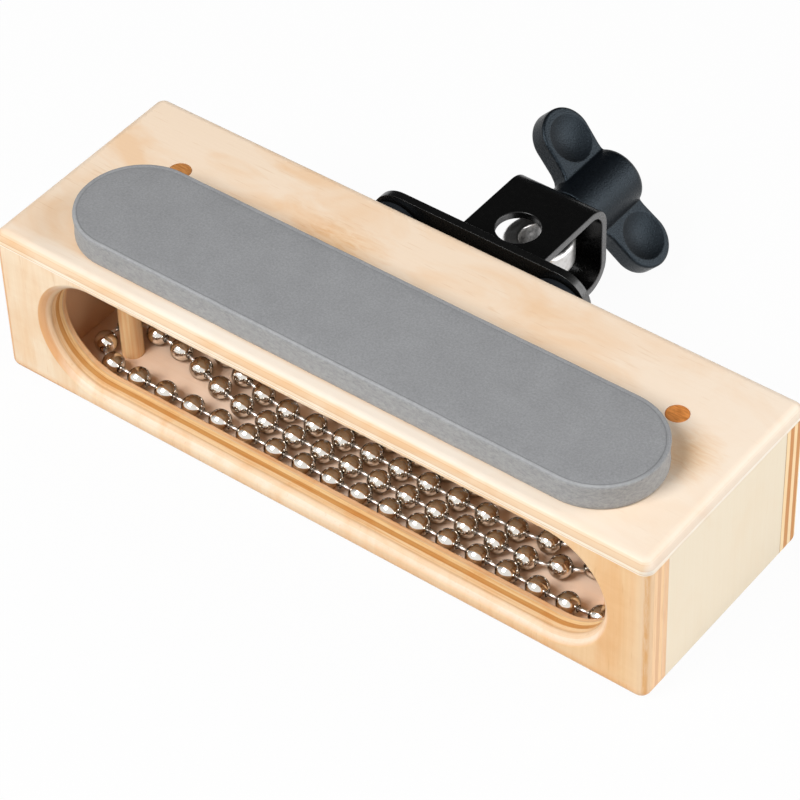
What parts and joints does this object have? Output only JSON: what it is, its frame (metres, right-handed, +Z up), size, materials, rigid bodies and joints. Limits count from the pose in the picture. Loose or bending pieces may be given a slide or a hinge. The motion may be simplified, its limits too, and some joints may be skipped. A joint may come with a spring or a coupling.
{
  "type": "hand clap block",
  "caption": "Slotted plywood box with loose ball chains inside that clatter when its foam pad is struck, and a rod clamp with a wing nut behind.",
  "frame": {"origin": "middle of the box's underside", "axes": "+X along the box to the right as seen from the slot, +Y back to the clamp, +Z up"},
  "size_m": [0.21, 0.1394, 0.057],
  "materials": {
    "birch_ply": "clear satin lacquer on birch plywood",
    "dowel_wood": "sanded hardwood, darker on its end grain",
    "grey_foam": "closed-cell foam, fine speckle, matte",
    "nickel": "bright nickel plate",
    "black_steel": "gloss black powder coat",
    "black_rubber": "matte",
    "zinc_steel": "bright zinc plate",
    "cast_eye": "plated rough casting",
    "blue_black_plastic": "moulded, fine satin texture",
    "brass": "machined"
  },
  "bodies": {
    "block": {"top_plate": "birch_ply", "bottom_plate": "birch_ply", "front_panel": "birch_ply", "back_panel": "birch_ply", "left_end_panel": "birch_ply", "right_end_panel": "birch_ply", "front_left_dowel": "dowel_wood", "front_right_dowel": "dowel_wood", "rear_left_dowel": "dowel_wood", "rear_right_dowel": "dowel_wood", "strike_pad": "grey_foam", "mount_plate": "black_steel", "clamp_bracket": "black_steel", "rubber_washer_upper_left": "black_rubber", "rubber_washer_upper_right": "black_rubber", "rubber_washer_lower_left": "black_rubber", "rubber_washer_lower_right": "black_rubber", "bracket_screw_upper_left": "zinc_steel", "bracket_screw_upper_right": "zinc_steel", "bracket_screw_lower_left": "zinc_steel", "bracket_screw_lower_right": "zinc_steel", "flat_washer_upper_left": "zinc_steel", "flat_washer_upper_right": "zinc_steel", "flat_washer_lower_left": "zinc_steel", "flat_washer_lower_right": "zinc_steel", "bracket_nut_upper_left": "zinc_steel", "bracket_nut_upper_right": "zinc_steel", "bracket_nut_lower_left": "zinc_steel", "bracket_nut_lower_right": "zinc_steel", "clamp_washer": "zinc_steel"},
    "front_chain": {"front_chain": "nickel", "front_chain_connector": "nickel"},
    "rear_chain": {"rear_chain": "nickel", "rear_chain_connector": "nickel"},
    "eye_bolt": {"eye_bolt": "cast_eye"},
    "wing_nut": {"wing_nut": "blue_black_plastic", "wing_nut_insert": "brass"}
  },
  "joints": [
    {"name": "front_chain_hop", "type": "slide", "parent": "block", "child": "front_chain", "axis": [0, 0, 1], "range_m": [0, 0.0355]},
    {"name": "rear_chain_hop", "type": "slide", "parent": "block", "child": "rear_chain", "axis": [0, 0, 1], "range_m": [0, 0.0355]},
    {"name": "wing_nut_turn", "type": "hinge", "parent": "block", "child": "wing_nut", "pos_m": [0, 0.0808, 0.0234], "axis": [0, 1, 0], "range_deg": [0, 2880]},
    {"name": "eye_bolt_draw", "type": "slide", "parent": "block", "child": "eye_bolt", "axis": [0, -1, 0], "range_m": [0, 0.01]}
  ],
  "couplings": [
    {"joint": "eye_bolt_draw", "follows": "wing_nut_turn", "m_per_rad": 0.00019894}
  ]
}
